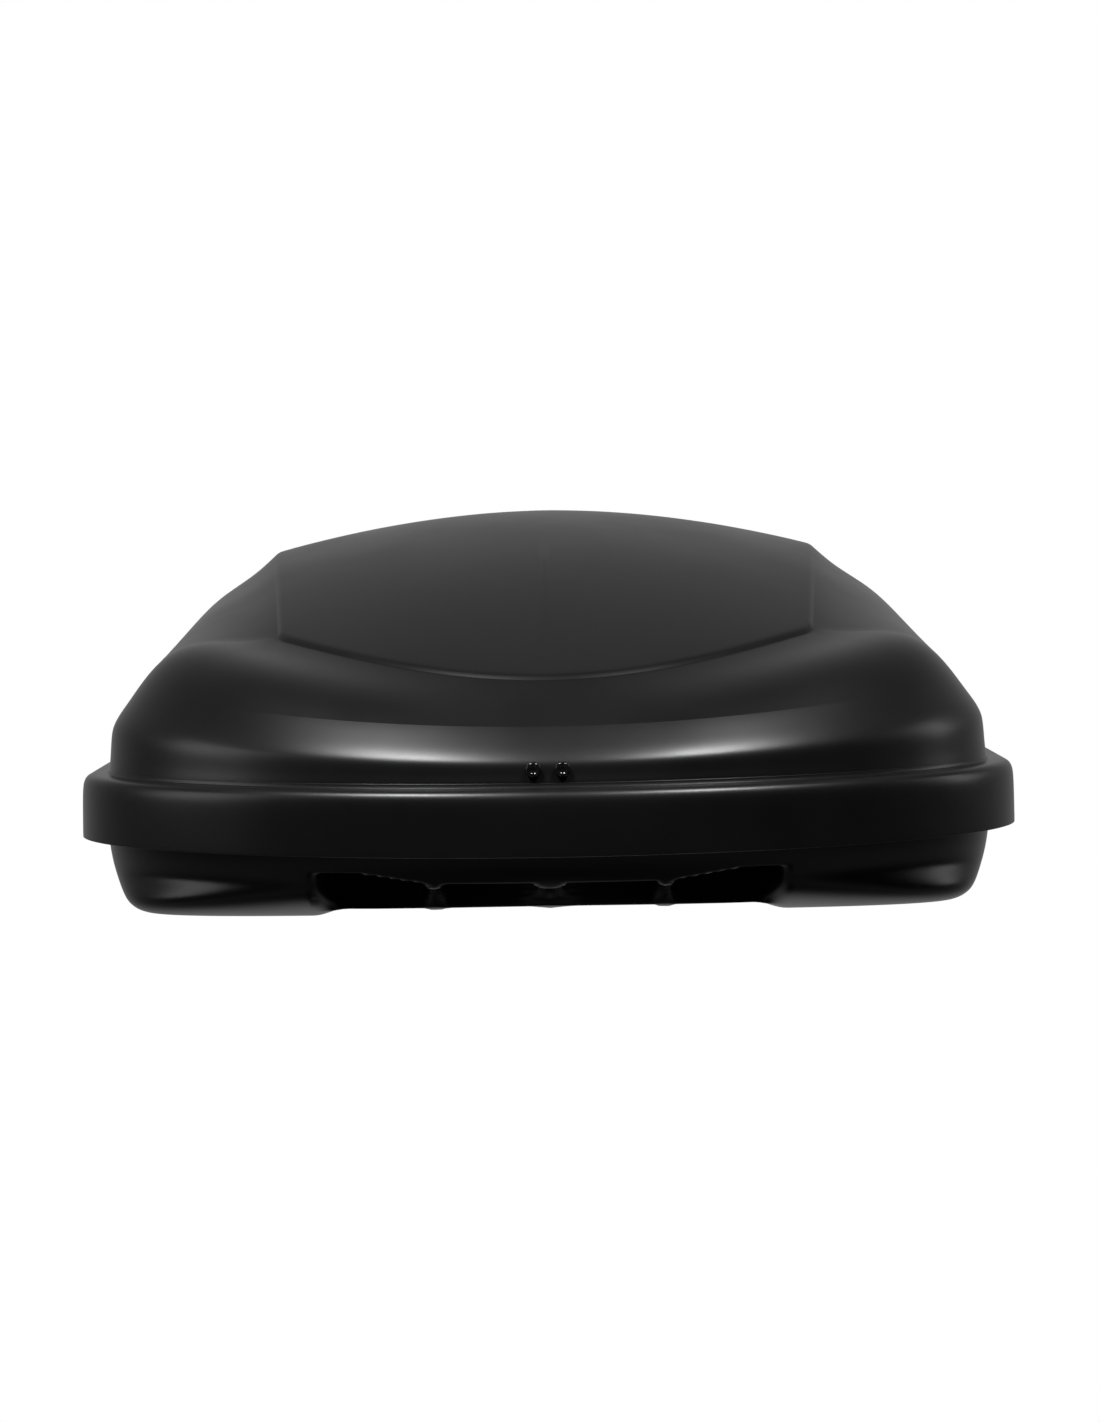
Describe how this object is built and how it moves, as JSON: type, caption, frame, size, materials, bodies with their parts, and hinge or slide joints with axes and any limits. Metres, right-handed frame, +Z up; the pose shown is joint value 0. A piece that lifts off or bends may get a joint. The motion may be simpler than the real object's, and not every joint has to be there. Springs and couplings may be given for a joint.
{
  "type": "roof cargo box",
  "caption": "Two-shell roof cargo box, hinged at the nose, with gas struts, a rear rod lock, crossbar U-bolt clamps and load straps.",
  "frame": {"origin": "centre of the box's footprint, on the plane of the runners", "axes": "+X across the car to the box's right seen from the nose, +Y from nose to tail, +Z up"},
  "size_m": [0.965, 1.6, 0.3999],
  "materials": {
    "shell_plastic": "satin black, fine grain",
    "black_plastic": "moulded black plastic",
    "seal_rubber": "soft black rubber",
    "zinc_steel": "zinc-plated steel",
    "dark_steel": "black painted steel",
    "chrome_rod": "polished rod",
    "rail_aluminium": "mill-finish aluminium",
    "brass": "die-cast brass",
    "webbing": "woven webbing"
  },
  "bodies": {
    "base": {"base_shell": "shell_plastic", "rim_seal": "seal_rubber", "floor_rail_left": "rail_aluminium", "floor_rail_right": "rail_aluminium", "rail_rivets": "zinc_steel", "hinge_bracket": "dark_steel", "hinge_pin": "zinc_steel", "bracket_rivets": "zinc_steel", "strut_base_stud_left": "zinc_steel", "strut_base_stud_right": "zinc_steel", "latch_keeper_left": "zinc_steel", "latch_keeper_right": "zinc_steel", "clamp_plate_front_left": "zinc_steel", "clamp_plate_front_right": "zinc_steel", "clamp_plate_rear_left": "zinc_steel", "clamp_plate_rear_right": "zinc_steel", "strap_anchors": "zinc_steel", "load_strap_front": "webbing", "load_strap_rear": "webbing", "buckle_frame_front": "zinc_steel", "buckle_frame_rear": "zinc_steel"},
    "lid": {"lid_shell": "shell_plastic", "lid_stiffener": "black_plastic", "hinge_strap": "dark_steel", "hinge_rivets": "dark_steel", "strut_lid_stud_left": "zinc_steel", "strut_lid_stud_right": "zinc_steel", "lock_housing": "black_plastic", "rod_guide_left": "black_plastic", "rod_guide_right": "black_plastic"},
    "lock_plug": {"lock_plug": "zinc_steel", "lock_pinion": "brass"},
    "key": {"key": "zinc_steel"},
    "strut_cylinder_left": {"strut_cylinder_left": "dark_steel"},
    "strut_rod_left": {"strut_rod_left": "chrome_rod"},
    "strut_cylinder_right": {"strut_cylinder_right": "dark_steel"},
    "strut_rod_right": {"strut_rod_right": "chrome_rod"},
    "latch_rod_left": {"latch_rod_left": "zinc_steel"},
    "latch_rod_right": {"latch_rod_right": "zinc_steel"},
    "ubolt_front_left": {"ubolt_front_left": "zinc_steel"},
    "knob_front_left_a": {"knob_front_left_a": "black_plastic"},
    "knob_front_left_b": {"knob_front_left_b": "black_plastic"},
    "ubolt_front_right": {"ubolt_front_right": "zinc_steel"},
    "knob_front_right_a": {"knob_front_right_a": "black_plastic"},
    "knob_front_right_b": {"knob_front_right_b": "black_plastic"},
    "ubolt_rear_left": {"ubolt_rear_left": "zinc_steel"},
    "knob_rear_left_a": {"knob_rear_left_a": "black_plastic"},
    "knob_rear_left_b": {"knob_rear_left_b": "black_plastic"},
    "ubolt_rear_right": {"ubolt_rear_right": "zinc_steel"},
    "knob_rear_right_a": {"knob_rear_right_a": "black_plastic"},
    "knob_rear_right_b": {"knob_rear_right_b": "black_plastic"},
    "buckle_lever_front": {"buckle_lever_front": "zinc_steel"},
    "buckle_lever_rear": {"buckle_lever_rear": "zinc_steel"}
  },
  "joints": [
    {"name": "lid_hinge", "type": "hinge", "parent": "base", "child": "lid", "pos_m": [0, -0.784, 0.08], "axis": [1, 0, 0], "range_deg": [0, 42]},
    {"name": "strut_tilt_left", "type": "hinge", "parent": "base", "child": "strut_cylinder_left", "pos_m": [-0.425, -0.1, 0.095], "axis": [1, 0, 0], "range_deg": [-17.99, 0]},
    {"name": "strut_slide_left", "type": "slide", "parent": "strut_cylinder_left", "child": "strut_rod_left", "axis": [0, -0.9719, 0.2356], "range_m": [0, 0.2274]},
    {"name": "strut_tilt_right", "type": "hinge", "parent": "base", "child": "strut_cylinder_right", "pos_m": [0.425, -0.1, 0.095], "axis": [1, 0, 0], "range_deg": [-17.99, 0]},
    {"name": "strut_slide_right", "type": "slide", "parent": "strut_cylinder_right", "child": "strut_rod_right", "axis": [0, -0.9719, 0.2356], "range_m": [0, 0.2274]},
    {"name": "lock_turn", "type": "hinge", "parent": "lid", "child": "lock_plug", "pos_m": [0, 0.76, 0.158], "axis": [0, 1, 0], "range_deg": [0, 90]},
    {"name": "key_pull", "type": "slide", "parent": "lock_plug", "child": "key", "axis": [0, 1, 0], "range_m": [0, 0.03]},
    {"name": "latch_slide_left", "type": "slide", "parent": "lid", "child": "latch_rod_left", "axis": [-1, 0, 0], "range_m": [0, 0.0188]},
    {"name": "latch_slide_right", "type": "slide", "parent": "lid", "child": "latch_rod_right", "axis": [1, 0, 0], "range_m": [0, 0.0189]},
    {"name": "knob_turn_front_left_a", "type": "hinge", "parent": "base", "child": "knob_front_left_a", "pos_m": [-0.3, -0.37, 0.03], "axis": [0, 0, 1], "range_deg": [0, 4322]},
    {"name": "knob_turn_front_left_b", "type": "hinge", "parent": "base", "child": "knob_front_left_b", "pos_m": [-0.3, -0.29, 0.03], "axis": [0, 0, 1], "range_deg": [0, 4322]},
    {"name": "ubolt_drop_front_left", "type": "slide", "parent": "base", "child": "ubolt_front_left", "axis": [0, 0, -1], "range_m": [0, 0.048]},
    {"name": "knob_turn_front_right_a", "type": "hinge", "parent": "base", "child": "knob_front_right_a", "pos_m": [0.3, -0.37, 0.03], "axis": [0, 0, 1], "range_deg": [0, 4322]},
    {"name": "knob_turn_front_right_b", "type": "hinge", "parent": "base", "child": "knob_front_right_b", "pos_m": [0.3, -0.29, 0.03], "axis": [0, 0, 1], "range_deg": [0, 4322]},
    {"name": "ubolt_drop_front_right", "type": "slide", "parent": "base", "child": "ubolt_front_right", "axis": [0, 0, -1], "range_m": [0, 0.048]},
    {"name": "knob_turn_rear_left_a", "type": "hinge", "parent": "base", "child": "knob_rear_left_a", "pos_m": [-0.3, 0.29, 0.03], "axis": [0, 0, 1], "range_deg": [0, 4322]},
    {"name": "knob_turn_rear_left_b", "type": "hinge", "parent": "base", "child": "knob_rear_left_b", "pos_m": [-0.3, 0.37, 0.03], "axis": [0, 0, 1], "range_deg": [0, 4322]},
    {"name": "ubolt_drop_rear_left", "type": "slide", "parent": "base", "child": "ubolt_rear_left", "axis": [0, 0, -1], "range_m": [0, 0.048]},
    {"name": "knob_turn_rear_right_a", "type": "hinge", "parent": "base", "child": "knob_rear_right_a", "pos_m": [0.3, 0.29, 0.03], "axis": [0, 0, 1], "range_deg": [0, 4322]},
    {"name": "knob_turn_rear_right_b", "type": "hinge", "parent": "base", "child": "knob_rear_right_b", "pos_m": [0.3, 0.37, 0.03], "axis": [0, 0, 1], "range_deg": [0, 4322]},
    {"name": "ubolt_drop_rear_right", "type": "slide", "parent": "base", "child": "ubolt_rear_right", "axis": [0, 0, -1], "range_m": [0, 0.048]},
    {"name": "buckle_open_front", "type": "hinge", "parent": "base", "child": "buckle_lever_front", "pos_m": [0.052, -0.13, 0.0188], "axis": [0, -1, 0], "range_deg": [0, 80]},
    {"name": "buckle_open_rear", "type": "hinge", "parent": "base", "child": "buckle_lever_rear", "pos_m": [0.052, 0.13, 0.0188], "axis": [0, -1, 0], "range_deg": [0, 80]}
  ],
  "couplings": [
    {"joint": "strut_tilt_left", "follows": "lid_hinge", "ratio": -0.41645},
    {"joint": "strut_slide_left", "follows": "lid_hinge", "m_per_rad": 0.30881},
    {"joint": "strut_tilt_right", "follows": "lid_hinge", "ratio": -0.41645},
    {"joint": "strut_slide_right", "follows": "lid_hinge", "m_per_rad": 0.30881},
    {"joint": "lock_turn", "follows": "latch_slide_left", "rad_per_m": 83.333},
    {"joint": "latch_slide_right", "follows": "latch_slide_left", "ratio": 1},
    {"joint": "knob_turn_front_left_a", "follows": "ubolt_drop_front_left", "rad_per_m": 1570.8},
    {"joint": "knob_turn_front_left_b", "follows": "ubolt_drop_front_left", "rad_per_m": 1570.8},
    {"joint": "knob_turn_front_right_a", "follows": "ubolt_drop_front_right", "rad_per_m": 1570.8},
    {"joint": "knob_turn_front_right_b", "follows": "ubolt_drop_front_right", "rad_per_m": 1570.8},
    {"joint": "knob_turn_rear_left_a", "follows": "ubolt_drop_rear_left", "rad_per_m": 1570.8},
    {"joint": "knob_turn_rear_left_b", "follows": "ubolt_drop_rear_left", "rad_per_m": 1570.8},
    {"joint": "knob_turn_rear_right_a", "follows": "ubolt_drop_rear_right", "rad_per_m": 1570.8},
    {"joint": "knob_turn_rear_right_b", "follows": "ubolt_drop_rear_right", "rad_per_m": 1570.8}
  ]
}
